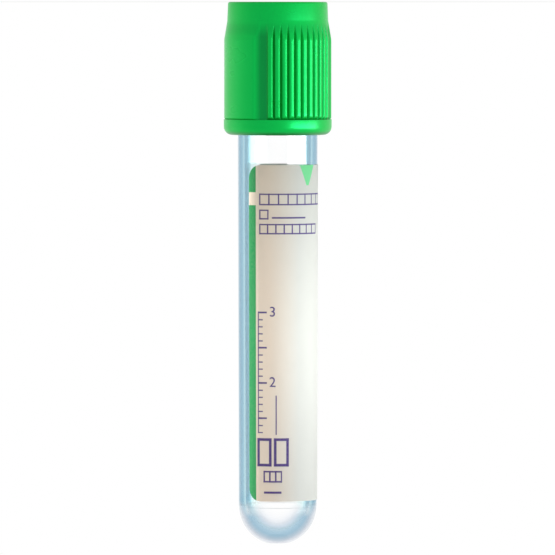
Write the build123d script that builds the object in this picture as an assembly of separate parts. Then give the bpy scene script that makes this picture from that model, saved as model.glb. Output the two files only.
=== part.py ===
from build123d import *
import os
from math import asin, atan2, degrees, radians, sin, cos, sqrt

# A 13 x 75 mm evacuated blood collection tube, which stands on its closure's flat rim. Each piece is built on the
# tube's axis with the closed end at height 0 and the front of the label towards -Y, and is turned over at the end.
# Lengths are in millimetres and angles in degrees. Angles round the axis run from the front towards +X.

# Tube: a clear moulding that narrows a little towards its round closed end.
tube_length = 75.0
mouth_radius = 6.5
end_radius = 6.33
mouth_bore_radius = 5.5
end_bore_radius = 5.25
end_wall = 1.6
foot_radius = 1.9
rim_round = 0.3
mould_step = 0.04

# Label: paper that wraps most of the way round and leaves a clear window.
label_thickness = 0.09
label_bottom = 7.1
label_top = 61.6
label_start = -45.5
label_sweep = 270.0
label_corner = 2.2

# Shield: the outer cap.
shield_bottom = 66.4
shield_top = 88.0
band_radius = 8.77
band_height = 2.55
band_round = 1.35
body_radius = 8.7
foot_notch = 0.18
flare_start = 81.9
flare_end = 84.9
flare_round = 3.0
ring_radius = 8.2
ring_top_radius = 8.07
ring_round = 0.35
well_radius = 6.0
well_round = 0.3
skirt_bore_radius = 7.2
skirt_round = 0.4

# Centring fins inside the skirt, the first half a step round from the front.
fin_count = 8
fin_width = 0.8
fin_clearance = 0.07
fin_foot = 67.6
fin_lead = 0.9

# Grip: ribbed sectors with smooth panels between them. Each sector is the same either side of its middle:
# ribs, then a floor, then a ramp up to the panel.
sector_count = 2
sector_middle = 31.0
rib_count = 11
rib_pitch = 7.84
valley_radius = 8.47
floor_radius = 8.2
floor_edge = 1.5
ramp_foot = 50.6
ramp_top = 59.0
rib_tip = 0.55

# Stopper: rubber, held by the shield's ledge in its groove.
plug_end = 67.0
plug_radius = 5.15
plug_clearance = 0.03
plug_round = 0.5
ridge_heights = (69.3, 72.3)
ridge_half_height = 0.75
hollow_mouth_radius = 3.0
hollow_top_radius = 2.5
hollow_top = 76.2
hollow_round = 1.2
rim_gap = 0.03
flange_radius = 6.35
flange_height = 1.6
groove_radius = 4.7
groove_height = 1.85
head_height = 4.1
head_round = 0.9
target_radius = 4.2
target_depth = 1.1
snap_depth = 0.3
seat_gap = 0.05
small_round = 0.15

ball_radius = end_radius - mould_step
ball_height = sqrt(ball_radius**2 - foot_radius**2)
end_height = ball_height + mould_step
bore_ball_height = end_wall + end_bore_radius
band_top = shield_bottom + band_height
flange_base = tube_length + rim_gap
ledge_base = flange_base + flange_height
ledge_top = ledge_base + groove_height
head_top = ledge_top + head_height
pocket_radius = well_radius + snap_depth


def turned(*lines):
    """The solid that a closed half-section makes about the axis: X is the radius and Y the height."""
    return revolve(make_face(Plane.XZ * (Curve() + list(lines))), Axis.Z)


def turned_corners(corners):
    """A turned solid from a list of corners, each a radius, a height and how far the corner is rounded."""
    points = [(radius, height) for radius, height, _ in corners]
    rounds = [rounding for _, _, rounding in corners]
    return turned(FilletPolyline(*points, radius=rounds, close=True))


def around(radius, angle):
    """The point at a radius and an angle round the axis, seen from above."""
    return radius * sin(radians(angle)), -radius * cos(radians(angle))


def side_radius(height):
    """The tube's outer radius at a height on its tapered side."""
    share = (height - end_height) / (tube_length - end_height)
    return end_radius + share * (mouth_radius - end_radius)


def make_tube():
    """The tube: a ball end with a flat foot, a moulding line, tapered sides and a rounded rim."""
    foot_angle = degrees(atan2(ball_height, foot_radius))
    side = [
        (end_radius, end_height),
        (mouth_radius, tube_length),
        (mouth_bore_radius, tube_length),
        (end_bore_radius, bore_ball_height),
    ]
    return turned(
        Line((0, 0), (foot_radius, 0)),
        CenterArc((0, ball_height), ball_radius, -foot_angle, foot_angle),
        Line((ball_radius, ball_height), side[0]),
        FilletPolyline(*side, radius=rim_round),
        CenterArc((0, bore_ball_height), end_bore_radius, -90, 90),
        Line((0, end_wall), (0, 0)),
    )


def label_corner_cutter(along, up):
    """A block less a round post, which rounds the label's corner on the side given by along and up."""
    block = Pos(along * label_corner, 0, up * label_corner) * Box(2 * label_corner, 2, 2 * label_corner)
    return Pos(0, -end_radius, 0) * (block - Rot(90, 0, 0) * Cylinder(label_corner, 3))


def make_label():
    """The label: a thin sheet bent round the tapered side, with rounded corners."""
    low, high = side_radius(label_bottom), side_radius(label_top)
    section = Polyline(
        (low, label_bottom),
        (low + label_thickness, label_bottom),
        (high + label_thickness, label_top),
        (high, label_top),
        close=True,
    )
    label = Rot(0, 0, label_start - 90) * revolve(make_face(Plane.XZ * section), Axis.Z, label_sweep)
    inset = degrees(asin(label_corner / end_radius))
    for up, height in ((-1, label_bottom + label_corner), (1, label_top - label_corner)):
        for along, angle in ((-1, label_start + inset), (1, label_start + label_sweep - inset)):
            label -= Pos(0, 0, height) * Rot(0, 0, angle) * label_corner_cutter(along, up)
    return label


def grip_cutter():
    """What one ribbed sector takes off the shield: a ramp and a floor each side of a row of rounded ribs."""
    half_ribs = rib_count * rib_pitch / 2
    outside = body_radius + 1
    lines = []
    for side in (-1, 1):
        floor_end = half_ribs + floor_edge
        lines += [
            Line(around(outside, side * ramp_top), around(body_radius, side * ramp_top)),
            Line(around(body_radius, side * ramp_top), around(floor_radius, side * ramp_foot)),
            ThreePointArc(
                around(floor_radius, side * ramp_foot),
                around(floor_radius, side * (ramp_foot + floor_end) / 2),
                around(floor_radius, side * floor_end),
            ),
            Line(around(floor_radius, side * floor_end), around(valley_radius, side * half_ribs)),
        ]
    for rib in range(rib_count):
        start = rib * rib_pitch - half_ribs
        lines.append(
            ThreePointArc(
                around(valley_radius, start),
                around(body_radius, start + rib_pitch / 2),
                around(valley_radius, start + rib_pitch),
            )
        )
    lines.append(ThreePointArc(around(outside, -ramp_top), around(outside, 0), around(outside, ramp_top)))
    face = make_face(Pos(0, 0, band_top) * (Curve() + lines))
    return extrude(face, shield_top - band_top)


def rib_tip_cutter():
    """The slope that rounds off the lower ends of one sector's ribs."""
    section = Polyline(
        (valley_radius, band_top),
        (body_radius + 1, band_top),
        (body_radius + 1, band_top + rib_tip * (body_radius + 1 - valley_radius) / (body_radius - valley_radius)),
        close=True,
    )
    sweep = rib_count * rib_pitch
    return Rot(0, 0, -sweep / 2 - 90) * revolve(make_face(Plane.XZ * section), Axis.Z, sweep)


def make_fins():
    """Upright fins inside the skirt that keep the shield centred on the tube, with a sloped lead-in."""
    fin_radius = mouth_radius + fin_clearance
    root_radius = skirt_bore_radius + skirt_round
    ring = turned_corners(
        [
            (fin_radius, fin_foot + fin_lead, 0),
            (root_radius, fin_foot, 0),
            (root_radius, ledge_base, 0),
            (fin_radius, ledge_base, 0),
        ]
    )
    height = ledge_base - fin_foot
    bar = Pos(0, 0, fin_foot + height / 2) * Box(2 * root_radius, fin_width, height)
    bars = [Rot(0, 0, 360 / fin_count * turn) * bar for turn in range(fin_count // 2)]
    return ring & (Part() + bars)


def make_shield():
    """The shield: skirt, band, ribbed body, flared shoulder, top ring, open well and the ledge inside."""
    shell = turned_corners(
        [
            (skirt_bore_radius, shield_bottom, small_round),
            (band_radius, shield_bottom, band_round),
            (band_radius, band_top, small_round / 2),
            (body_radius - foot_notch, band_top, 0),
            (body_radius, band_top + foot_notch, 0),
            (body_radius, flare_start, flare_round),
            (ring_radius, flare_end, flare_round),
            (ring_top_radius, shield_top, ring_round),
            (well_radius, shield_top, well_round),
            (well_radius, head_top, 0),
            (pocket_radius, head_top, 0),
            (pocket_radius, ledge_top, small_round),
            (groove_radius + seat_gap, ledge_top, small_round),
            (groove_radius + seat_gap, ledge_base, small_round),
            (skirt_bore_radius, ledge_base, skirt_round),
        ]
    )
    shell = Rot(0, 0, 180 / fin_count) * (shell + make_fins())
    for sector in range(sector_count):
        turn = Rot(0, 0, sector_middle + 360 / sector_count * sector)
        shell -= turn * grip_cutter()
        shell -= turn * rib_tip_cutter()
    return shell


def make_stopper():
    """The stopper: a hollow plug with sealing ridges, a flange, a groove and a dished head."""
    stopper = turned_corners(
        [
            (hollow_mouth_radius, plug_end, small_round),
            (plug_radius, plug_end, plug_round),
            (plug_radius, flange_base, 0),
            (flange_radius, flange_base, small_round),
            (flange_radius, ledge_base, small_round),
            (groove_radius, ledge_base, 0),
            (groove_radius, ledge_top, 0),
            (pocket_radius - seat_gap, ledge_top, small_round),
            (pocket_radius - seat_gap, head_top, head_round),
            (target_radius, head_top, small_round),
            (target_radius - target_depth, head_top - target_depth, target_depth),
            (0, head_top - target_depth, 0),
            (0, hollow_top, 0),
            (hollow_top_radius, hollow_top, hollow_round),
        ]
    )
    ridge_radius = mouth_bore_radius - plug_clearance
    for height in ridge_heights:
        low, high = height - ridge_half_height, height + ridge_half_height
        stopper += turned(
            Polyline((plug_radius, high), (hollow_mouth_radius + 1, height), (plug_radius, low)),
            ThreePointArc((plug_radius, low), (ridge_radius, height), (plug_radius, high)),
        )
    return stopper


pieces = {
    "tube": make_tube(),
    "label": make_label(),
    "shield": make_shield(),
    "stopper": make_stopper(),
}

# Turn the pieces over, so that the closure stands on the table and the round end points up. The front of the
# label still faces -Y, and the origin is under the middle of the closure.
standing = Pos(0, 0, shield_top) * Rot(0, 180, 0)

os.makedirs("parts", exist_ok=True)
for name, piece in pieces.items():
    export_step(standing * piece, f"parts/{name}.step")
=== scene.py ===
import math
import bmesh
import bpy
from mathutils import Matrix, Quaternion, Vector


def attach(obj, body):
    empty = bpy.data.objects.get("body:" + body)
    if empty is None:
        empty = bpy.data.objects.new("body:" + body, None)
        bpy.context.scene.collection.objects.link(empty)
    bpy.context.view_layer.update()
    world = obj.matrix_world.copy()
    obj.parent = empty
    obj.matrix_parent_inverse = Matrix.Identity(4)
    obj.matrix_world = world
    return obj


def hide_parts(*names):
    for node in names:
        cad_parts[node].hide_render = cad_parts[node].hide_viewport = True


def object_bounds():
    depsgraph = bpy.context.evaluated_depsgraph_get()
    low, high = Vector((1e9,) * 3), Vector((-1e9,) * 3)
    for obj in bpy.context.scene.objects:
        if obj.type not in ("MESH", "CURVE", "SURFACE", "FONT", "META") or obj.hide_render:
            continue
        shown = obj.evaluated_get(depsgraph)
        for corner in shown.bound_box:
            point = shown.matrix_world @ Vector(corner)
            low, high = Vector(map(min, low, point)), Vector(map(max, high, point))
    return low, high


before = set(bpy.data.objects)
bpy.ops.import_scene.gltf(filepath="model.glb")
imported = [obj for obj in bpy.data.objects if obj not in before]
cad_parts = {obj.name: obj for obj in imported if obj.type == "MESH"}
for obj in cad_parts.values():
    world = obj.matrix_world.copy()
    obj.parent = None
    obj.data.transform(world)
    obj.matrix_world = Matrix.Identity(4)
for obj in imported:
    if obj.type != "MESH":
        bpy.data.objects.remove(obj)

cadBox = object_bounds()
mm = 0.001
sameSpot = 0.01  # points that are nearer than this are at the same height or radius
mergeDistance = 1e-5
print("frame loaded, height", round(cadBox[1].z / mm, 2), "mm")

# The object stands on its closure. Each piece is modelled in millimetres on the tube's axis, with the
# round end at height 0 and the front of the label towards -Y, and is turned over at the end. Angles are
# counted from the front towards +X.


# Profiles and turned pieces

def drawProfile(bm, corners, firstVert, roundSteps=6):
    # corners are radius, height and rounding, and the line starts from a vertex that is there already
    points = [Vector((c[0], 0, c[1])) for c in corners]
    verts = [bm.verts.new(p) for p in points]
    bm.edges.new((firstVert, verts[0]))
    for a, b in zip(verts, verts[1:]):
        bm.edges.new((a, b))
    lastVert = verts[-1]
    for i, corner in enumerate(corners):
        if corner[2] == 0:
            continue
        opening = (points[i - 1] - points[i]).angle(points[i + 1] - points[i])
        bmesh.ops.bevel(
            bm, geom=[verts[i]], offset=corner[2] / math.tan(opening / 2), offset_type="OFFSET",
            segments=roundSteps, profile=0.5, affect="VERTICES", material=-1, clamp_overlap=False,
        )
    return lastVert


def drawArc(bm, vert, centre, degrees, steps):
    # carries a vertex round a centre in the profile's plane and returns the last one
    made = bmesh.ops.spin(
        bm, geom=[vert], cent=(centre[0], 0, centre[1]), axis=(0, -1, 0),
        angle=math.radians(degrees), steps=steps, use_merge=False, use_duplicate=False,
    )
    return [g for g in made["geom_last"] if isinstance(g, bmesh.types.BMVert)][0]


def turnProfile(bm, steps):
    # spins the profile once round the axis and closes seam and poles
    bmesh.ops.spin(
        bm, geom=bm.verts[:] + bm.edges[:], cent=(0, 0, 0), axis=(0, 0, 1),
        angle=2 * math.pi, steps=steps, use_merge=True, use_duplicate=False,
    )
    bmesh.ops.remove_doubles(bm, verts=bm.verts[:], dist=mergeDistance)
    bmesh.ops.recalc_face_normals(bm, faces=bm.faces[:])


def smoothFaces(bm, sharpDegrees=30):
    for face in bm.faces:
        face.smooth = True
    for edge in bm.edges:
        edge.smooth = edge.calc_face_angle(0) < math.radians(sharpDegrees)


def placePiece(bm, name, body, replaced=None):
    # turns the model over, so that it stands on the closure, and hands the piece to its body
    turnOver = Matrix.Translation((0, 0, cadBox[1].z)) @ Matrix.Rotation(math.pi, 4, "Y")
    bmesh.ops.transform(bm, matrix=turnOver @ Matrix.Scale(mm, 4), verts=bm.verts[:])
    mesh = bpy.data.meshes.new(name)
    bm.to_mesh(mesh)
    bm.free()
    piece = bpy.data.objects.new(name, mesh)
    bpy.context.scene.collection.objects.link(piece)
    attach(piece, body)
    if replaced:
        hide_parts(replaced)
    return piece


# Tube: clear moulding, 13 x 75 mm

tubeSize = {
    "length": 75.0,
    "mouthRadius": 6.5,
    "endRadius": 6.33,
    "mouthBore": 5.5,
    "endBore": 5.25,
    "endWall": 1.6,
    "footRadius": 1.9,
    "footRound": 0.35,
    "rimRound": 0.3,
    "mouldStep": 0.04,
    "nearEnds": 0.5,  # cuts this near to the ends keep the shading of the long sides straight
    "footSteps": 6,
    "ballSteps": 24,
    "boreSteps": 28,
    "turnSteps": 192,
}
ballRadius = tubeSize["endRadius"] - tubeSize["mouldStep"]
ballTop = math.sqrt(ballRadius ** 2 - tubeSize["footRadius"] ** 2)


def sideRadius(height):
    low = ballTop + tubeSize["mouldStep"]
    share = (height - low) / (tubeSize["length"] - low)
    return tubeSize["endRadius"] + share * (tubeSize["mouthRadius"] - tubeSize["endRadius"])


def makeTube():
    s = tubeSize
    boreTop = s["endWall"] + s["endBore"]
    # the flat foot runs into the ball through an arc that touches both
    footMiddle = math.sqrt((ballRadius - s["footRound"]) ** 2 - (ballTop - s["footRound"]) ** 2)
    ballStart = math.degrees(math.atan2(ballTop - s["footRound"], footMiddle))
    low = ballTop + s["mouldStep"] + s["nearEnds"]
    high = s["length"] - 2 * s["nearEnds"]

    def boreRadius(height):
        share = (height - boreTop) / (s["length"] - boreTop)
        return s["endBore"] + share * (s["mouthBore"] - s["endBore"])

    bm = bmesh.new()
    pole = bm.verts.new((0, 0, 0))
    foot = bm.verts.new((footMiddle, 0, 0))
    bm.edges.new((pole, foot))
    ballEdge = drawArc(bm, foot, (footMiddle, s["footRound"]), 90 - ballStart, s["footSteps"])
    equator = drawArc(bm, ballEdge, (0, ballTop), ballStart, s["ballSteps"])
    side = [
        (s["endRadius"], ballTop + s["mouldStep"], 0),
        (sideRadius(low), low, 0),
        (sideRadius(high), high, 0),
        (s["mouthRadius"], s["length"], s["rimRound"]),
        (s["mouthBore"], s["length"], s["rimRound"]),
        (boreRadius(high), high, 0),
        (boreRadius(boreTop + s["nearEnds"]), boreTop + s["nearEnds"], 0),
        (s["endBore"], boreTop, 0),
    ]
    boreEnd = drawProfile(bm, side, equator)
    drawArc(bm, boreEnd, (0, boreTop), -90, s["boreSteps"])
    turnProfile(bm, s["turnSteps"])
    smoothFaces(bm)
    return placePiece(bm, "clearTube", "tube", "tube")


# Label: paper round the side, with a clear window left open, and the numbers printed on it

labelSize = {
    "low": 7.1,
    "high": 61.6,
    "start": -45.5,
    "sweep": 270.0,
    "cornerRound": 2.2,
    "cornerSteps": 8,
    "gap": 0.012,
    "thickness": 0.07,
    "flatScale": 0.1134,  # millimetres along the paper for each degree
    "cutStep": 0.34,
}
numberSize = {
    "figures": ((2, 26.4), (3, 37.8)),  # millilitres, and their height on the tube
    "height": 2.3,
    "along": -0.85,
    "lift": 0.006,
    "thickness": 0.006,
    "merge": 1e-4,
}


def cutStrips(bm, left, right):
    # upright cuts, so that a flat piece can bend round the tube
    cuts = int((right - left) / labelSize["cutStep"])
    for i in range(1, cuts):
        everything = bm.verts[:] + bm.edges[:] + bm.faces[:]
        plane = (left + (right - left) * i / cuts, 0, 0)
        bmesh.ops.bisect_plane(bm, geom=everything, plane_co=plane, plane_no=(1, 0, 0))


def wrapRound(bm, lift):
    # keeps the flat places as a map in millimetres, and bends the piece round the tapered side
    uvLayer = bm.loops.layers.uv.new("paper")
    for face in bm.faces:
        for loop in face.loops:
            loop[uvLayer].uv = (loop.vert.co.x, loop.vert.co.z)
    for vert in bm.verts:
        angle = math.radians(vert.co.x / labelSize["flatScale"])
        radius = sideRadius(vert.co.z) + lift
        vert.co = (radius * math.sin(angle), -radius * math.cos(angle), vert.co.z)
    bm.normal_update()
    for face in bm.faces:
        middle = face.calc_center_median()
        if face.normal.x * middle.x + face.normal.y * middle.y < 0:
            face.normal_flip()


def giveWall(piece, thickness):
    wall = piece.modifiers.new("wall", "SOLIDIFY")
    wall.thickness = thickness * mm
    wall.offset = 1
    wall.use_even_offset = False


def makeLabel():
    s = labelSize
    left = s["start"] * s["flatScale"]
    right = (s["start"] + s["sweep"]) * s["flatScale"]
    bm = bmesh.new()
    corners = [(left, s["low"]), (right, s["low"]), (right, s["high"]), (left, s["high"])]
    verts = [bm.verts.new((x, 0, z)) for x, z in corners]
    bm.faces.new(verts)
    bmesh.ops.bevel(
        bm, geom=verts, offset=s["cornerRound"], offset_type="OFFSET", segments=s["cornerSteps"],
        profile=0.5, affect="VERTICES", material=-1, clamp_overlap=False,
    )
    cutStrips(bm, left, right)
    wrapRound(bm, s["gap"])
    smoothFaces(bm)
    label = placePiece(bm, "wrappedLabel", "tube", "label")
    giveWall(label, s["thickness"])
    return label


def makeNumbers():
    # upright figures beside the fill scale, cut out of text and laid on the paper as a film of ink
    s = numberSize
    bm = bmesh.new()
    for figure, level in s["figures"]:
        curve = bpy.data.curves.new("figure", "FONT")
        curve.body = str(figure)
        curve.align_x = "CENTER"
        curve.align_y = "CENTER"
        curve.size = s["height"]
        text = bpy.data.objects.new("figure", curve)
        bpy.context.scene.collection.objects.link(text)
        mesh = bpy.data.meshes.new_from_object(text)
        upright = Matrix.Rotation(math.pi / 2, 4, "X")
        mesh.transform(Matrix.Translation((s["along"], 0, level)) @ upright)
        bm.from_mesh(mesh)
        bpy.data.meshes.remove(mesh)
        bpy.data.objects.remove(text)
        bpy.data.curves.remove(curve)
    bmesh.ops.remove_doubles(bm, verts=bm.verts[:], dist=s["merge"])
    cutStrips(bm, s["along"] - s["height"] / 2, s["along"] + s["height"] / 2)
    wrapRound(bm, labelSize["gap"] + labelSize["thickness"] + s["lift"])
    smoothFaces(bm)
    numbers = placePiece(bm, "scaleNumbers", "tube")
    giveWall(numbers, s["thickness"])
    return numbers


# Shield: the closure's outer cap, with two ribbed sectors between smooth panels

shieldSize = {
    "bottom": 66.4,
    "top": 88.0,
    "band": 8.767,
    "bandTop": 68.95,
    "bandRound": 1.35,
    "body": 8.7,
    "notch": 0.18,
    "bodyRows": (69.25, 69.4, 69.6, 70.2, 75.0, 80.5, 81.4),
    "flareStart": 81.9,
    "flareEnd": 84.9,
    "flareRound": 3.0,
    "flareRows": 8,
    "flareFrom": 0.08,  # where the rows start in the flare, and how much of it they span, as shares
    "flareSpan": 0.86,
    "ring": 8.2,
    "ringTop": 8.07,
    "ringRound": 0.35,
    "well": 6.0,
    "wellRound": 0.3,
    "wellRow": 87.0,
    "wellFloor": 82.58,
    "pocket": 6.3,
    "ledgeTop": 78.48,
    "ledge": 4.75,
    "ledgeBase": 76.63,
    "skirtBore": 7.2,
    "skirtRound": 0.4,
    "smallRound": 0.15,
    "sharpDegrees": 42,
}
gripSize = {
    "middle": 31.0,  # where the first sector is, in degrees from the front
    "ribs": 11,
    "pitch": 7.84,
    "grooveHalf": 0.33,
    "grooveDepth": 0.42,
    "crown": 0.15,
    "ribTip": 0.5,
    "floor": 8.2,
    "floorEdge": 1.5,
    "rampFoot": 50.6,
    "rampTop": 58.0,
    "aboveBand": 0.05,  # the grip starts this far above the band, and in the notch this far inside
    "insideNotch": 0.1,
    "ribSteps": 16,
    "edgeSteps": 3,
    "floorSteps": 6,
    "rampSteps": 8,
    "panelSteps": 18,
}
finSize = {
    "count": 8,
    "width": 0.8,
    "inner": 6.57,
    "outer": 7.5,
    "low": 67.6,
    "leadIn": 0.9,
}


def gripZones():
    # where each zone of half a sector ends, in degrees from its middle, and the steps up to there
    g = gripSize
    ribEdge = g["ribs"] * g["pitch"] / 2
    zones = [(0, 0)]
    for end, steps in (
        (ribEdge, g["ribs"] * g["ribSteps"] / 2),
        (ribEdge + g["floorEdge"], g["edgeSteps"]),
        (g["rampFoot"], g["floorSteps"]),
        (g["rampTop"], g["rampSteps"]),
        (90, g["panelSteps"]),
    ):
        zones.append((end, zones[-1][1] + steps))
    return zones


def shiftAngle(even, zones):
    # moves even steps of a quarter turn to the borders of the zones
    step = even / 90 * zones[-1][1]
    for (start, first), (end, last) in zip(zones, zones[1:]):
        if step <= last:
            return start + (end - start) * (step - first) / (last - first)
    return 90


def gripRadius(away, height):
    # how far out the grip lets the surface stand, at an angle from the middle of a sector
    g = gripSize
    body = shieldSize["body"]
    valley = body - g["grooveDepth"]
    ribEdge = g["ribs"] * g["pitch"] / 2
    if away <= ribEdge:
        cell = (away / g["pitch"] + 0.5) % 1
        fromGroove = math.radians((0.5 - abs(cell - 0.5)) * g["pitch"]) * body
        slope = math.cos(min(fromGroove / g["grooveHalf"], 1) * math.pi / 2) ** 2
        radius = body - (g["grooveDepth"] - g["crown"]) * slope - g["crown"] * (2 * cell - 1) ** 2
        tip = valley + g["grooveDepth"] * (height - shieldSize["bandTop"]) / g["ribTip"]
        return min(radius, max(tip, valley))
    if away <= ribEdge + g["floorEdge"]:
        return valley + (g["floor"] - valley) * (away - ribEdge) / g["floorEdge"]
    if away <= g["rampFoot"]:
        return g["floor"]
    if away < g["rampTop"]:
        share = (away - g["rampFoot"]) / (g["rampTop"] - g["rampFoot"])
        return g["floor"] + share * (body - g["floor"])
    return body + 1


def isOnGrip(radius, height):
    # everything outside above the band, and the bottom of the notch at the foot of the ribs
    s = shieldSize
    if radius <= s["ringTop"] - 2 * s["ringRound"]:
        return False
    inNotch = abs(height - s["bandTop"]) < sameSpot and radius < s["body"] - gripSize["insideNotch"]
    return inNotch or height > s["bandTop"] + gripSize["aboveBand"]


def cutGrip(bm):
    # gathers the upright edges at the borders of the zones and sinks the surface between the ribs
    zones = gripZones()
    for vert in bm.verts:
        radius = math.hypot(vert.co.x, vert.co.y)
        angle = math.degrees(math.atan2(vert.co.x, -vert.co.y)) - gripSize["middle"]
        half, within = divmod(angle, 180)
        side = 1 if within <= 90 else -1
        away = shiftAngle(within if side == 1 else 180 - within, zones)
        if isOnGrip(radius, vert.co.z):
            radius = min(radius, gripRadius(away, vert.co.z))
        angle = (half if side == 1 else half + 1) * 180 + side * away + gripSize["middle"]
        angle = math.radians(angle)
        vert.co = (radius * math.sin(angle), -radius * math.cos(angle), vert.co.z)


def addFins(bm):
    # upright fins inside the skirt, which keep the shield centred on the tube
    f = finSize
    height = shieldSize["ledgeBase"] - f["low"]
    middle = (0, (f["outer"] + f["inner"]) / 2, f["low"] + height / 2)
    for i in range(f["count"]):
        made = bmesh.ops.create_cube(bm, size=1)["verts"]
        bmesh.ops.scale(bm, vec=(f["width"], f["outer"] - f["inner"], height), verts=made)
        bmesh.ops.translate(bm, vec=middle, verts=made)
        for vert in made:
            if vert.co.y < f["inner"] + sameSpot and vert.co.z < f["low"] + sameSpot:
                vert.co.z += f["leadIn"]
        turn = Matrix.Rotation(2 * math.pi * (i + 0.5) / f["count"], 3, "Z")
        bmesh.ops.rotate(bm, matrix=turn, verts=made)


def makeShield():
    s = shieldSize
    small = s["smallRound"]
    rows = [(s["body"], height, 0) for height in s["bodyRows"]]
    flare = []
    for i in range(1, s["flareRows"]):
        share = s["flareFrom"] + s["flareSpan"] * i / s["flareRows"]
        radius = s["body"] + share * (s["ring"] - s["body"])
        flare.append((radius, s["flareStart"] + share * (s["flareEnd"] - s["flareStart"]), 0))
    bm = bmesh.new()
    first = bm.verts.new((s["well"], 0, s["wellFloor"]))
    last = drawProfile(bm, [
        (s["pocket"], s["wellFloor"], 0),
        (s["pocket"], s["ledgeTop"], small),
        (s["ledge"], s["ledgeTop"], small),
        (s["ledge"], s["ledgeBase"], small),
        (s["skirtBore"], s["ledgeBase"], s["skirtRound"]),
        (s["skirtBore"], s["bottom"], small),
        (s["band"], s["bottom"], s["bandRound"]),
        (s["band"], s["bandTop"], small / 2),
        (s["body"] - s["notch"], s["bandTop"], 0),
        (s["body"], s["bandTop"] + s["notch"], 0),
        *rows,
        (s["body"], s["flareStart"], s["flareRound"]),
        *flare,
        (s["ring"], s["flareEnd"], s["flareRound"]),
        (s["ringTop"], s["top"], s["ringRound"]),
        (s["well"], s["top"], s["wellRound"]),
        (s["well"], s["wellRow"], 0),
    ], first)
    bm.edges.new((last, first))
    turnProfile(bm, int(4 * gripZones()[-1][1]))
    # the even steps start at the middle of the sectors
    turn = Matrix.Rotation(math.radians(gripSize["middle"] - 90), 3, "Z")
    bmesh.ops.rotate(bm, matrix=turn, verts=bm.verts[:])
    cutGrip(bm)
    addFins(bm)
    bmesh.ops.recalc_face_normals(bm, faces=bm.faces[:])
    smoothFaces(bm, s["sharpDegrees"])
    return placePiece(bm, "ribbedShield", "closure", "shield")


tube = makeTube()
print("tube modelled")
label = makeLabel()
numbers = makeNumbers()
print("label and numbers modelled")
shield = makeShield()
print("shield modelled,", len(shield.data.polygons), "faces")


# Helpers for materials

def newMaterial(name):
    material = bpy.data.materials.new(name)
    material.use_nodes = True
    tree = material.node_tree
    return material, tree, tree.nodes["Principled BSDF"]


def addNode(tree, kind, **settings):
    node = tree.nodes.new(kind)
    for key, value in settings.items():
        setattr(node, key, value)
    return node


def feed(tree, socket, value):
    # a socket takes a link or a plain value
    if isinstance(value, bpy.types.NodeSocket):
        tree.links.new(value, socket)
    else:
        socket.default_value = value


def mathNode(tree, operation, *values, clamp=False):
    node = addNode(tree, "ShaderNodeMath", operation=operation, use_clamp=clamp)
    for socket, value in zip(node.inputs, values):
        feed(tree, socket, value)
    return node.outputs[0]


def mixColour(tree, share, first, second, blend="MIX"):
    node = addNode(tree, "ShaderNodeMix", data_type="RGBA", blend_type=blend)
    for name, value in (("Factor_Float", share), ("A_Color", first), ("B_Color", second)):
        socket = [i for i in node.inputs if i.identifier == name][0]
        feed(tree, socket, value)
    return [o for o in node.outputs if o.identifier == "Result_Color"][0]


def rangeNode(tree, value, fromLow, fromHigh, toLow, toHigh):
    node = addNode(tree, "ShaderNodeMapRange")
    for socket, setting in zip(node.inputs, (value, fromLow, fromHigh, toLow, toHigh)):
        feed(tree, socket, setting)
    return node.outputs["Result"]


def rampNode(tree, value, stops):
    ramp = addNode(tree, "ShaderNodeValToRGB")
    elements = ramp.color_ramp.elements
    elements[0].position, elements[0].color = stops[0]
    elements[1].position, elements[1].color = stops[-1]
    for position, colour in stops[1:-1]:
        elements.new(position).color = colour
    feed(tree, ramp.inputs["Fac"], value)
    return ramp.outputs["Color"]


def newGroup(name, inputs, outputs):
    group = bpy.data.node_groups.new(name, "ShaderNodeTree")
    for socketName, kind in inputs:
        group.interface.new_socket(socketName, in_out="INPUT", socket_type=kind)
    for socketName, kind in outputs:
        group.interface.new_socket(socketName, in_out="OUTPUT", socket_type=kind)
    return group, group.nodes.new("NodeGroupInput"), group.nodes.new("NodeGroupOutput")


def placeGroup(tree, group, **values):
    node = addNode(tree, "ShaderNodeGroup", node_tree=group)
    for name, value in values.items():
        feed(tree, node.inputs[name], value)
    return node


def bumpNode(tree, height, strength, depth):
    bump = addNode(tree, "ShaderNodeBump")
    bump.inputs["Strength"].default_value = strength
    bump.inputs["Distance"].default_value = depth * mm
    feed(tree, bump.inputs["Height"], height)
    return bump.outputs["Normal"]


# Effects that several materials share

def makeGrainGroup():
    # fine moulding grain as a height, and slow clouds as a tone, both from 0 to 1
    group, source, result = newGroup(
        "fineGrain",
        [("place", "NodeSocketVector"), ("fine", "NodeSocketFloat"), ("clouds", "NodeSocketFloat")],
        [("height", "NodeSocketFloat"), ("tone", "NodeSocketFloat")],
    )
    for name, size, detail in (("height", "fine", 4), ("tone", "clouds", 2)):
        noise = addNode(group, "ShaderNodeTexNoise")
        noise.inputs["Detail"].default_value = detail
        feed(group, noise.inputs["Vector"], source.outputs["place"])
        feed(group, noise.inputs["Scale"], source.outputs[size])
        feed(group, result.inputs[name], noise.outputs["Fac"])
    return group


scuffLook = {
    "turned": (0.12, -0.2, 0.4),
    "stretched": (1, 1, 0.12),
    "halfWidth": 0.012,
    "patchy": (0.5, 0.68),
}


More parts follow.
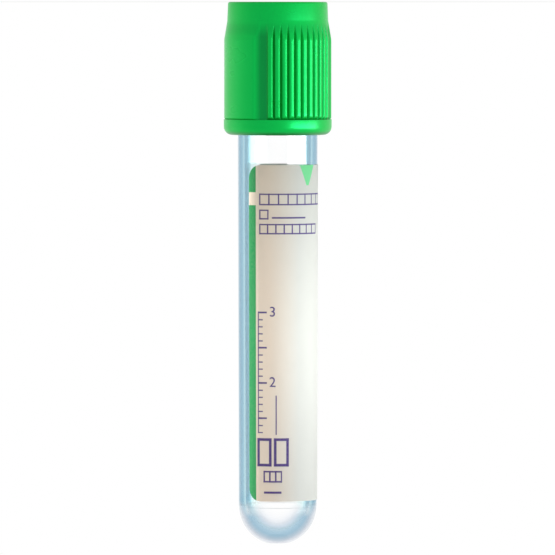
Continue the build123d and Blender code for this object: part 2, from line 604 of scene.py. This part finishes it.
def makeScuffGroup():
    # short thin scratches that run mostly along the axis, in patches
    group, source, result = newGroup(
        "handlingScuffs",
        [("place", "NodeSocketVector"), ("size", "NodeSocketFloat"), ("patches", "NodeSocketFloat")],
        [("mask", "NodeSocketFloat")],
    )
    turned = addNode(group, "ShaderNodeMapping")
    turned.inputs["Rotation"].default_value = scuffLook["turned"]
    turned.inputs["Scale"].default_value = scuffLook["stretched"]
    feed(group, turned.inputs["Vector"], source.outputs["place"])
    lines = addNode(group, "ShaderNodeTexNoise")
    lines.inputs["Detail"].default_value = 1
    feed(group, lines.inputs["Vector"], turned.outputs["Vector"])
    feed(group, lines.inputs["Scale"], source.outputs["size"])
    patches = addNode(group, "ShaderNodeTexNoise")
    feed(group, patches.inputs["Vector"], source.outputs["place"])
    feed(group, patches.inputs["Scale"], source.outputs["patches"])
    middle = mathNode(group, "ABSOLUTE", mathNode(group, "SUBTRACT", lines.outputs["Fac"], 0.5))
    thin = rangeNode(group, middle, 0, scuffLook["halfWidth"], 1, 0)
    where = rangeNode(group, patches.outputs["Fac"], *scuffLook["patchy"], 0, 1)
    feed(group, result.inputs["mask"], mathNode(group, "MULTIPLY", thin, where))
    return group


def makeBarGroup():
    # one printed bar between four sides
    sides = ("left", "right", "low", "high")
    group, source, result = newGroup(
        "printedBar",
        [(name, "NodeSocketFloat") for name in ("along", "up") + sides + ("blur",)],
        [("mask", "NodeSocketFloat")],
    )
    mask = 1.0
    for axis, side, sign in (
        ("along", "left", 1), ("along", "right", -1), ("up", "low", 1), ("up", "high", -1),
    ):
        inside = mathNode(group, "SUBTRACT", source.outputs[axis], source.outputs[side])
        inside = mathNode(group, "MULTIPLY", inside, sign)
        inside = mathNode(group, "DIVIDE", inside, source.outputs["blur"])
        inside = mathNode(group, "ADD", inside, 0.5, clamp=True)
        mask = mathNode(group, "MULTIPLY", inside, mask)
    feed(group, result.inputs["mask"], mask)
    return group


def makeRulingGroup():
    # thin lines at even steps from a start
    group, source, result = newGroup(
        "printedRuling",
        [(name, "NodeSocketFloat") for name in ("across", "start", "step", "line", "blur")],
        [("mask", "NodeSocketFloat")],
    )
    away = mathNode(group, "SUBTRACT", source.outputs["across"], source.outputs["start"])
    halfStep = mathNode(group, "MULTIPLY", source.outputs["step"], 0.5)
    away = mathNode(group, "PINGPONG", away, halfStep)
    halfLine = mathNode(group, "MULTIPLY", source.outputs["line"], 0.5)
    inside = mathNode(group, "SUBTRACT", halfLine, away)
    inside = mathNode(group, "DIVIDE", inside, source.outputs["blur"])
    feed(group, result.inputs["mask"], mathNode(group, "ADD", inside, 0.5, clamp=True))
    return group


fineGrain = makeGrainGroup()
handlingScuffs = makeScuffGroup()
printedBar = makeBarGroup()
printedRuling = makeRulingGroup()


# Clear plastic

clearLook = {
    "ior": 1.57,
    "roughness": (0.01, 0.09),  # clean, and where it is scuffed
    "scuffSize": 900,
    "scuffPatches": 260,
    # base colours for how much a wall slants to the ray, from the air and then from inside the plastic:
    # partly the plastic's blue tint, partly painted shade of the dark surroundings seen in the slanted
    # walls
    "airTintAndShade": (
        (0.0, (1.0, 1.0, 1.0, 1)),
        (0.13, (0.97, 0.99, 0.99, 1)),
        (0.19, (0.87, 0.965, 0.965, 1)),
        (0.24, (0.74, 0.93, 0.93, 1)),
        (0.3, (0.68, 0.88, 0.89, 1)),
        (0.38, (0.85, 0.96, 0.95, 1)),
        (0.454, (0.45, 0.74, 0.82, 1)),
        (0.54, (0.18, 0.41, 0.54, 1)),
        (0.65, (0.1, 0.29, 0.43, 1)),
        (0.8, (0.15, 0.34, 0.48, 1)),
        (1.0, (0.4, 0.62, 0.75, 1)),
    ),
    "insideTintAndShade": (
        (0.0, (1.0, 1.0, 1.0, 1)),
        (0.1, (0.97, 1.0, 1.0, 1)),
        (0.13, (0.84, 0.96, 0.97, 1)),
        (0.15, (0.58, 0.82, 0.88, 1)),
        (0.165, (0.38, 0.63, 0.75, 1)),
        (0.21, (0.25, 0.46, 0.6, 1)),
        (1.0, (0.25, 0.46, 0.6, 1)),
    ),
    # the same at the ball end, where the plastic is thicker
    "ballAirTintAndShade": (
        (0.0, (1.0, 1.0, 1.0, 1)),
        (0.05, (0.9, 0.92, 0.96, 1)),
        (0.09, (0.72, 0.78, 0.86, 1)),
        (0.115, (0.55, 0.63, 0.73, 1)),
        (0.16, (0.38, 0.52, 0.66, 1)),
        (0.206, (0.25, 0.43, 0.56, 1)),
        (0.265, (0.175, 0.36, 0.52, 1)),
        (0.365, (0.12, 0.28, 0.43, 1)),
        (0.5, (0.22, 0.33, 0.445, 1)),
        (0.6, (0.38, 0.45, 0.55, 1)),
        (0.714, (0.58, 0.62, 0.7, 1)),
        (1.0, (0.85, 0.88, 0.92, 1)),
    ),
    "clean": (1, 1, 1, 1),
    "ballOutside": 5.9,  # the bore lies nearer to the ball's middle, and the outside further away
    "ballHeight": (81.0, 83.5),  # over these heights the tints change from the sides' to the ball's
    "glintHeight": (79.0, 80.9),  # the lamps' mirror images fade away over these heights
    "footHeight": 87.98,
    "deepest": 3.5,
    "lightThrough": (0.93, 0.95, 0.955, 1),
}


def makeClearPlastic():
    look = clearLook
    material, tree, shader = newMaterial("clearPlastic")
    shader.inputs["Transmission Weight"].default_value = 1.0
    shader.inputs["IOR"].default_value = look["ior"]
    place = addNode(tree, "ShaderNodeTexCoord").outputs["Object"]
    scuffs = placeGroup(
        tree, handlingScuffs, place=place, size=look["scuffSize"], patches=look["scuffPatches"],
    )
    roughness = rangeNode(tree, scuffs.outputs["mask"], 0, 1, *look["roughness"])
    feed(tree, shader.inputs["Roughness"], roughness)
    # the wall is bluer and darker where it is seen at a slant, partly from the plastic's tint and partly
    # as painted shade of the dark surroundings that the edges show
    facing = addNode(tree, "ShaderNodeLayerWeight")
    facing.inputs["Blend"].default_value = 0.5
    split = addNode(tree, "ShaderNodeSeparateXYZ")
    feed(tree, split.inputs[0], place)
    height = split.outputs["Z"]
    low, high = (value * mm for value in look["ballHeight"])
    ballEnd = rangeNode(tree, height, low, high, 0, 1)
    low, high = (value * mm for value in look["glintHeight"])
    feed(tree, shader.inputs["Specular Tint"], rangeNode(tree, height, low, high, 1, 0))
    air = rampNode(tree, facing.outputs["Facing"], look["airTintAndShade"])
    inside = rampNode(tree, facing.outputs["Facing"], look["insideTintAndShade"])
    ballAir = rampNode(tree, facing.outputs["Facing"], look["ballAirTintAndShade"])
    # the ball's tint and painted edge shade are on its outer surface, and its bore has none
    fromMiddle = addNode(tree, "ShaderNodeVectorMath", operation="DISTANCE")
    feed(tree, fromMiddle.inputs[0], place)
    fromMiddle.inputs[1].default_value = (0, 0, cadBox[1].z - ballTop * mm)
    outside = mathNode(tree, "GREATER_THAN", fromMiddle.outputs["Value"], look["ballOutside"] * mm)
    air = mixColour(tree, ballEnd, air, mixColour(tree, outside, look["clean"], ballAir))
    inside = mixColour(tree, ballEnd, inside, look["clean"])
    backfacing = addNode(tree, "ShaderNodeNewGeometry").outputs["Backfacing"]
    feed(tree, shader.inputs["Base Color"], mixColour(tree, backfacing, air, inside))
    # light for paper and floor goes straight through the thin walls, and so does what is trapped in them
    through = addNode(tree, "ShaderNodeBsdfTransparent")
    through.inputs["Color"].default_value = look["lightThrough"]
    path = addNode(tree, "ShaderNodeLightPath")
    plain = mathNode(tree, "MAXIMUM", path.outputs["Is Shadow Ray"], path.outputs["Is Diffuse Ray"])
    trapped = mathNode(tree, "GREATER_THAN", path.outputs["Ray Depth"], look["deepest"])
    plain = mathNode(tree, "MAXIMUM", plain, trapped)
    # the flat foot would mirror the dark stopper
    foot = mathNode(tree, "GREATER_THAN", height, look["footHeight"] * mm)
    plain = mathNode(tree, "MAXIMUM", plain, mathNode(tree, "MULTIPLY", foot, backfacing))
    mix = addNode(tree, "ShaderNodeMixShader")
    feed(tree, mix.inputs["Fac"], plain)
    feed(tree, mix.inputs[1], shader.outputs["BSDF"])
    feed(tree, mix.inputs[2], through.outputs["BSDF"])
    feed(tree, tree.nodes["Material Output"].inputs["Surface"], mix.outputs["Shader"])
    return material


# Printed paper. Places on it are millimetres along the paper from the front, and up the tube.

paperLook = {
    "paper": (0.82, 0.83, 0.8, 1),
    "paintedWarmLight": (1.0, 0.9, 0.79, 1),
    "warmLightAlong": (3.6, -1.5),  # where the painted warm light on the front has faded out to the plain paper, and where it is full
    "shade": (0.97, 0.97, 0.965, 1),
    "roughness": (0.5, 0.66),
    "figureRoughness": (0.4, 0.55),
    "specular": 0.1,
    "translucent": 0.35,
    "fibres": 5200,
    "clouds": 420,
    "bump": (0.25, 0.01),  # strength, and depth in millimetres
    "cover": (0.86, 1.0),  # how much of the paper the print covers
    "figureCover": (0.84, 1.0),
    "coverFibres": (0.25, 0.75),
    "roughFibres": (0.2, 0.8),
    "blur": 0.07,
    "ink": (0.102, 0.061, 0.305, 1),
    "green": (0.02, 0.46, 0.15, 1),
    "paleGreen": (0.27, 0.9, 0.45, 1),
    "stripe": [(-5.16, -3.74, 7.0, 55.1), (-5.16, -3.74, 57.2, 61.7)],
    "pointer": {"middle": 5.39, "low": 58.3, "high": 61.6, "halfLow": 0.25, "halfHigh": 1.64},
    # left, right, low, high
    "bars": [
        (-0.95, 4.9, 52.95, 53.2),
        (-3.38, -3.2, 18.2, 37.9),
        (-0.35, -0.17, 17.95, 24.3),
        (-2.3, 0.6, 8.4, 8.75),
    ],
    # left, right, low, high, step, line, direction
    "rulings": [
        (-3.11, 9.61, 55.1, 57.0, 1.5625, 0.22, "along"),
        (-3.11, 9.61, 55.1, 57.0, 1.68, 0.22, "up"),
        (-3.1, -1.5, 52.8, 54.4, 1.4, 0.22, "along"),
        (-3.1, -1.5, 52.8, 54.4, 1.4, 0.22, "up"),
        (-3.11, 7.91, 50.4, 52.1, 1.35, 0.22, "along"),
        (-3.11, 7.91, 50.4, 52.1, 1.48, 0.22, "up"),
        (-3.3, -2.5, 18.2, 37.9, 1.1425, 0.18, "up"),
        (-3.3, -1.8, 20.5, 37.9, 5.7125, 0.26, "up"),
        (-3.5, -1.0, 12.8, 17.4, 2.05, 0.45, "along"),
        (-3.5, -1.0, 12.8, 17.4, 4.15, 0.45, "up"),
        (-0.65, 1.85, 12.8, 17.4, 2.05, 0.45, "along"),
        (-0.65, 1.85, 12.8, 17.4, 4.15, 0.45, "up"),
        (-2.4, 0.7, 10.2, 12.1, 0.97, 0.26, "along"),
        (-2.4, 0.7, 10.2, 12.1, 1.64, 0.26, "up"),
    ],
}


def barMask(tree, along, up, sides):
    left, right, low, high = sides
    bar = placeGroup(
        tree, printedBar, along=along, up=up, left=left, right=right, low=low, high=high,
        blur=paperLook["blur"],
    )
    return bar.outputs["mask"]


def inkMask(tree, along, up):
    # adds the printed bars and ruled boxes together
    look = paperLook
    mask = 0.0
    marks = [(*bar, None, None, None) for bar in look["bars"]] + look["rulings"]
    for left, right, low, high, step, line, direction in marks:
        bar = barMask(tree, along, up, (left, right, low, high))
        if step:
            across, start = (along, left) if direction == "along" else (up, low)
            ruling = placeGroup(
                tree, printedRuling, across=across, start=start + line / 2, step=step, line=line,
                blur=look["blur"],
            )
            bar = mathNode(tree, "MULTIPLY", bar, ruling.outputs["mask"])
        mask = mathNode(tree, "MAXIMUM", bar, mask)
    return mask


def pointerMask(tree, along, up):
    # a blunt triangle that hangs from the upper edge
    p = paperLook["pointer"]
    half = rangeNode(tree, up, p["low"], p["high"], p["halfLow"], p["halfHigh"])
    away = mathNode(tree, "ABSOLUTE", mathNode(tree, "SUBTRACT", along, p["middle"]))
    inside = mathNode(tree, "DIVIDE", mathNode(tree, "SUBTRACT", half, away), paperLook["blur"])
    above = mathNode(tree, "DIVIDE", mathNode(tree, "SUBTRACT", up, p["low"]), paperLook["blur"])
    inside = mathNode(tree, "ADD", inside, 0.5, clamp=True)
    return mathNode(tree, "MULTIPLY", inside, mathNode(tree, "ADD", above, 0.5, clamp=True))


def finishPaper(tree, shader, colour, height, roughness):
    # a share of the light comes through the thin sheet
    look = paperLook
    feed(tree, shader.inputs["Base Color"], colour)
    feed(tree, shader.inputs["Roughness"], roughness)
    shader.inputs["Specular IOR Level"].default_value = look["specular"]
    feed(tree, shader.inputs["Normal"], bumpNode(tree, height, *look["bump"]))
    soft = addNode(tree, "ShaderNodeBsdfTranslucent")
    feed(tree, soft.inputs["Color"], colour)
    mix = addNode(tree, "ShaderNodeMixShader")
    mix.inputs["Fac"].default_value = look["translucent"]
    feed(tree, mix.inputs[1], shader.outputs["BSDF"])
    feed(tree, mix.inputs[2], soft.outputs["BSDF"])
    feed(tree, tree.nodes["Material Output"].inputs["Surface"], mix.outputs["Shader"])


def makePaper():
    look = paperLook
    material, tree, shader = newMaterial("printedPaper")
    sheet = addNode(tree, "ShaderNodeUVMap", uv_map="paper").outputs["UV"]
    split = addNode(tree, "ShaderNodeSeparateXYZ")
    feed(tree, split.inputs["Vector"], sheet)
    along, up = split.outputs["X"], split.outputs["Y"]
    place = addNode(tree, "ShaderNodeTexCoord").outputs["Object"]
    grain = placeGroup(tree, fineGrain, place=place, fine=look["fibres"], clouds=look["clouds"])
    # painted light: towards one side of the front the paper turns cream and lighter, standing in for
    # warm light falling there
    warmLightShare = rangeNode(tree, along, *look["warmLightAlong"], 0, 1)
    colour = mixColour(tree, warmLightShare, look["paper"], look["paintedWarmLight"])
    colour = mixColour(tree, grain.outputs["tone"], colour, look["shade"], "MULTIPLY")
    stripe = 0.0
    for sides in look["stripe"]:
        stripe = mathNode(tree, "MAXIMUM", barMask(tree, along, up, sides), stripe)
    ink = inkMask(tree, along, up)
    # the print is a little uneven, as the fibres take it
    cover = rangeNode(tree, grain.outputs["height"], *look["coverFibres"], *look["cover"])
    for mask, printed in (
        (stripe, look["green"]), (pointerMask(tree, along, up), look["paleGreen"]), (ink, look["ink"]),
    ):
        colour = mixColour(tree, mathNode(tree, "MULTIPLY", mask, cover), colour, printed)
    roughness = rangeNode(tree, grain.outputs["height"], *look["roughFibres"], *look["roughness"])
    finishPaper(tree, shader, colour, grain.outputs["height"], roughness)
    return material


def makeInk():
    look = paperLook
    material, tree, shader = newMaterial("printedFigures")
    place = addNode(tree, "ShaderNodeTexCoord").outputs["Object"]
    grain = placeGroup(tree, fineGrain, place=place, fine=look["fibres"], clouds=look["clouds"])
    cover = rangeNode(tree, grain.outputs["height"], *look["coverFibres"], *look["figureCover"])
    colour = mixColour(tree, cover, look["paper"], look["ink"])
    roughness = rangeNode(tree, grain.outputs["height"], *look["roughFibres"], *look["figureRoughness"])
    finishPaper(tree, shader, colour, grain.outputs["height"], roughness)
    return material


# Green plastic of the closure, and the rubber inside it

greenLook = {
    "plastic": (0.002, 0.39, 0.042, 1),
    "plasticShade": (0.001, 0.355, 0.036, 1),
    "hollow": (0.001, 0.15, 0.012, 1),  # painted shade in the grooves of the grip
    "hollowRadius": (8.28, 8.6),
    "hollowHeight": (3.4, 5.6),
    "scuffed": (0.05, 0.5, 0.14, 1),
    "scuffShare": 0.06,
    "scuffRoughness": 0.5,
    "roughness": (0.26, 0.33),
    "roughTone": (0.3, 0.7),
    "ior": 1.75,
    "specular": 1.0,
    "glossTint": (0.03, 1.0, 0.28, 1),
    "grain": 3000,
    "bump": (0.12, 0.02),
    "clouds": 160,
    "scuffSize": 700,
    "scuffPatches": 200,
}
rubberLook = {
    "rubber": (0.03, 0.17, 0.09, 1),
    "rubberShade": (0.02, 0.13, 0.07, 1),
    "roughness": (0.6, 0.78),
    "roughGrain": (0.3, 0.7),
    "specular": 0.3,
    "grain": 2200,
    "bump": (0.3, 0.03),
    "clouds": 300,
}


def makeGreenPlastic():
    look = greenLook
    material, tree, shader = newMaterial("greenPlastic")
    shader.inputs["IOR"].default_value = look["ior"]
    shader.inputs["Specular IOR Level"].default_value = look["specular"]
    shader.inputs["Specular Tint"].default_value = look["glossTint"]
    place = addNode(tree, "ShaderNodeTexCoord").outputs["Object"]
    grain = placeGroup(tree, fineGrain, place=place, fine=look["grain"], clouds=look["clouds"])
    scuffs = placeGroup(
        tree, handlingScuffs, place=place, size=look["scuffSize"], patches=look["scuffPatches"],
    )
    worn = mathNode(tree, "MULTIPLY", scuffs.outputs["mask"], look["scuffShare"])
    colour = mixColour(tree, grain.outputs["tone"], look["plastic"], look["plasticShade"])
    # painted shade: the grooves are darker, from how far they lie inside the ribs
    split = addNode(tree, "ShaderNodeSeparateXYZ")
    feed(tree, split.inputs[0], place)
    square = mathNode(tree, "MULTIPLY", split.outputs["X"], split.outputs["X"])
    square = mathNode(tree, "MULTIPLY_ADD", split.outputs["Y"], split.outputs["Y"], square)
    radius = mathNode(tree, "SQRT", square)
    low, high = (value * mm for value in look["hollowRadius"])
    deep = rangeNode(tree, radius, low, high, 1, 0)
    low, high = (value * mm for value in look["hollowHeight"])
    onGrip = rangeNode(tree, split.outputs["Z"], low, high, 0, 1)
    colour = mixColour(tree, mathNode(tree, "MULTIPLY", deep, onGrip), colour, look["hollow"])
    feed(tree, shader.inputs["Base Color"], mixColour(tree, worn, colour, look["scuffed"]))
    roughness = rangeNode(tree, grain.outputs["tone"], *look["roughTone"], *look["roughness"])
    scratched = mathNode(tree, "MULTIPLY", worn, look["scuffRoughness"])
    feed(tree, shader.inputs["Roughness"], mathNode(tree, "ADD", roughness, scratched))
    feed(tree, shader.inputs["Normal"], bumpNode(tree, grain.outputs["height"], *look["bump"]))
    return material


def makeRubber():
    look = rubberLook
    material, tree, shader = newMaterial("greenRubber")
    shader.inputs["Specular IOR Level"].default_value = look["specular"]
    place = addNode(tree, "ShaderNodeTexCoord").outputs["Object"]
    grain = placeGroup(tree, fineGrain, place=place, fine=look["grain"], clouds=look["clouds"])
    colour = mixColour(tree, grain.outputs["tone"], look["rubber"], look["rubberShade"])
    feed(tree, shader.inputs["Base Color"], colour)
    roughness = rangeNode(tree, grain.outputs["height"], *look["roughGrain"], *look["roughness"])
    feed(tree, shader.inputs["Roughness"], roughness)
    feed(tree, shader.inputs["Normal"], bumpNode(tree, grain.outputs["height"], *look["bump"]))
    return material


def dress(piece, material):
    piece.data.materials.clear()
    piece.data.materials.append(material)


dress(tube, makeClearPlastic())
dress(label, makePaper())
dress(numbers, makeInk())
dress(shield, makeGreenPlastic())
rubber = makeRubber()
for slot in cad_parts["stopper"].material_slots:
    slot.material = rubber
print("materials made")


# Floor, world, lamps and camera

stageLook = {
    "floorSize": 12,
    "floorColour": (0.85, 0.85, 0.85, 1),
    # the share of plain white in what is seen of the floor, near the object and far from it
    "floorWhite": (0.75, 1.0),
    "floorFade": (0.04, 0.18),  # metres from the axis
    "ambient": 0.38,
    "ambientColour": (0.97, 0.99, 1, 1),
}
# each lamp's side is in degrees from the camera's direction, towards -X
lampSet = {
    "key": {
        "side": 60, "distance": 0.85, "height": 0.17, "size": (1.05, 0.31),
        "watts": 8.7, "colour": (1, 1, 1), "glossy": True,
    },
    "fill": {
        "side": -104, "distance": 0.8, "height": 0.24, "size": (0.5, 0.46),
        "watts": 6.9, "colour": (1, 0.96, 0.9), "glossy": False,
    },
}
cameraSet = {
    "sensor": 36,
    "distance": 1.2,
    "height": 0.001,  # level with the closure's rim, so the rim shows edge-on
    "frameWidth": 0.09024,
    "above": 0.0008,  # the middle of the view is a little nearer to the round end
    "aside": 0.00004,
}


def whiteShare(tree):
    # 1 for what the camera sees directly, in gloss and through glass
    path = addNode(tree, "ShaderNodeLightPath")
    seen = mathNode(tree, "MAXIMUM", path.outputs["Is Camera Ray"], path.outputs["Is Glossy Ray"])
    return mathNode(tree, "MAXIMUM", seen, path.outputs["Is Transmission Ray"])


def makeFloor():
    bm = bmesh.new()
    bmesh.ops.create_grid(bm, x_segments=1, y_segments=1, size=stageLook["floorSize"] / 2)
    mesh = bpy.data.meshes.new("floor")
    bm.to_mesh(mesh)
    bm.free()
    floor = bpy.data.objects.new("floor", mesh)
    bpy.context.scene.collection.objects.link(floor)
    material, tree, shader = newMaterial("paleFloor")
    tree.nodes.remove(shader)
    diffuse = addNode(tree, "ShaderNodeBsdfDiffuse")
    diffuse.inputs["Color"].default_value = stageLook["floorColour"]
    white = addNode(tree, "ShaderNodeEmission")
    mix = addNode(tree, "ShaderNodeMixShader")
    away = addNode(tree, "ShaderNodeVectorMath", operation="LENGTH")
    feed(tree, away.inputs[0], addNode(tree, "ShaderNodeTexCoord").outputs["Object"])
    share = rangeNode(tree, away.outputs["Value"], *stageLook["floorFade"], *stageLook["floorWhite"])
    feed(tree, mix.inputs["Fac"], mathNode(tree, "MULTIPLY", whiteShare(tree), share))
    feed(tree, mix.inputs[1], diffuse.outputs["BSDF"])
    feed(tree, mix.inputs[2], white.outputs["Emission"])
    feed(tree, tree.nodes["Material Output"].inputs["Surface"], mix.outputs["Shader"])
    floor.data.materials.append(material)


def makeWorld():
    world = bpy.data.worlds.new("studio")
    bpy.context.scene.world = world
    world.use_nodes = True
    tree = world.node_tree
    tree.nodes.clear()
    output = addNode(tree, "ShaderNodeOutputWorld")
    ambient = addNode(tree, "ShaderNodeBackground")
    ambient.inputs["Color"].default_value = stageLook["ambientColour"]
    ambient.inputs["Strength"].default_value = stageLook["ambient"]
    white = addNode(tree, "ShaderNodeBackground")
    white.inputs["Color"].default_value = (1, 1, 1, 1)
    mix = addNode(tree, "ShaderNodeMixShader")
    feed(tree, mix.inputs["Fac"], whiteShare(tree))
    feed(tree, mix.inputs[1], ambient.outputs["Background"])
    feed(tree, mix.inputs[2], white.outputs["Background"])
    feed(tree, output.inputs["Surface"], mix.outputs["Shader"])


def makeLamps():
    # the lamps are upright and face the axis
    for name, lamp in lampSet.items():
        data = bpy.data.lights.new(name, "AREA")
        data.shape = "RECTANGLE"
        data.size, data.size_y = lamp["size"]
        data.energy = lamp["watts"]
        data.color = lamp["colour"]
        side = math.radians(lamp["side"])
        towards = Vector((-math.sin(side), -math.cos(side), 0))
        obj = bpy.data.objects.new(name, data)
        obj.location = lamp["distance"] * towards + Vector((0, 0, lamp["height"]))
        obj.rotation_euler = (-towards).to_track_quat("-Z", "Y").to_euler()
        obj.visible_transmission = False  # no bright strips through the clear walls
        obj.visible_glossy = lamp["glossy"]
        bpy.context.scene.collection.objects.link(obj)


def makeCamera():
    data = bpy.data.cameras.new("camera")
    data.sensor_width = cameraSet["sensor"]
    data.lens = cameraSet["sensor"] * cameraSet["distance"] / cameraSet["frameWidth"]
    camera = bpy.data.objects.new("camera", data)
    middle = (cadBox[0] + cadBox[1]) / 2
    aim = Vector((middle.x + cameraSet["aside"], 0, middle.z + cameraSet["above"]))
    back = math.sqrt(cameraSet["distance"] ** 2 - (aim.z - cameraSet["height"]) ** 2)
    camera.location = (aim.x, -back, cameraSet["height"])
    # held upside down, so that the closure is at the top
    upright = (aim - camera.location).to_track_quat("-Z", "Y")
    camera.rotation_euler = (upright @ Quaternion((0, 0, 1), math.pi)).to_euler()
    bpy.context.scene.collection.objects.link(camera)
    bpy.context.scene.camera = camera


makeFloor()
makeWorld()
makeLamps()
makeCamera()
bpy.context.scene.view_settings.view_transform = "Standard"
print("stage, lamps and camera made")
